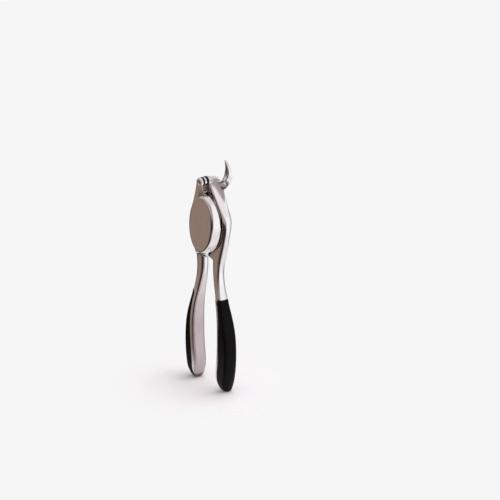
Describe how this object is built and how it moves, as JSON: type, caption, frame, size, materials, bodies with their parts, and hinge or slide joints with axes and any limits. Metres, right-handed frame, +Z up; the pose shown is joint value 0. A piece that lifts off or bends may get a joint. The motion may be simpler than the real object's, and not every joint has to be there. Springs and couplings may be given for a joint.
{
  "type": "champagne opener",
  "caption": "Hinged pliers for drawing sparkling-wine corks, with an oval cork cap, toothed jaws, a claw for foil and wire, and bowed handles with black grips.",
  "frame": {"origin": "middle of the overall box, on the level of the handle ends", "axes": "+X towards the lever with the claw, +Y away from the cap's face along the hinge axis, +Z up from the handle ends to the hinge"},
  "size_m": [0.0566, 0.0176, 0.197],
  "materials": {
    "plated_casting": "polished plate over a zinc casting",
    "grip": "smooth black, slightly glossy",
    "pin_steel": "bright turned steel",
    "spacer_steel": "polished",
    "washer": "plain black"
  },
  "bodies": {
    "cap_side": {"cap_lever": "plated_casting", "left_grip": "grip", "hinge_pin": "pin_steel", "hinge_spacer": "spacer_steel", "front_washer": "washer", "rear_washer": "washer"},
    "hook_side": {"hook_lever": "plated_casting", "right_grip": "grip"}
  },
  "joints": [
    {"name": "lever_hinge", "type": "hinge", "parent": "cap_side", "child": "hook_side", "pos_m": [0, 0, 0.176], "axis": [0, -1, 0], "range_deg": [0, 55]}
  ]
}
